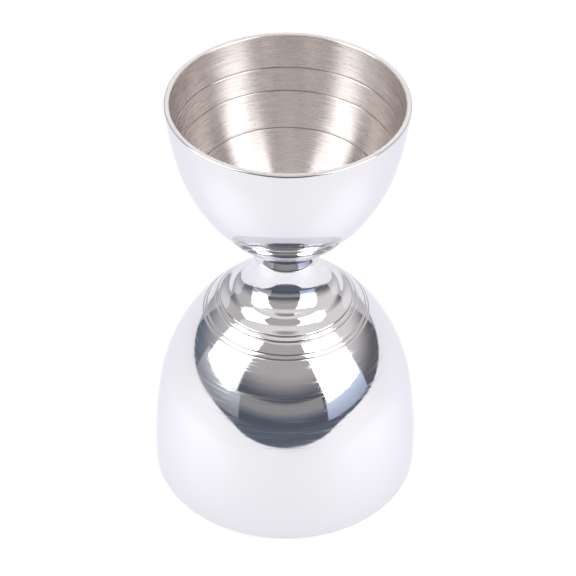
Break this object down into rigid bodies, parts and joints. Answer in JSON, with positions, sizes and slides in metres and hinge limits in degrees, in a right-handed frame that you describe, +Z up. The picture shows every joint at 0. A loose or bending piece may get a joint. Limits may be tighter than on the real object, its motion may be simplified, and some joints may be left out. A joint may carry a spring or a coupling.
{
  "type": "bar jigger",
  "caption": "Steel bell jigger: a small measuring cup and a larger bell-shaped cup joined foot to foot at a narrow solid neck.",
  "frame": {"origin": "centre of the large cup's mouth, on the surface it stands on", "axes": "+Z up along the common axis of both cups, from the large cup's mouth to the small cup's lip"},
  "size_m": [0.053, 0.053, 0.087],
  "materials": {
    "polished_steel": "mirror-polished stainless steel outside, fine circular brushing inside the cups",
    "weld_steel": "polished weld"
  },
  "bodies": {
    "root": {"upper_cup": "polished_steel", "lower_bell": "polished_steel", "neck_plug": "polished_steel", "neck_ring": "polished_steel", "upper_weld": "weld_steel", "lower_weld": "weld_steel"}
  },
  "joints": []
}
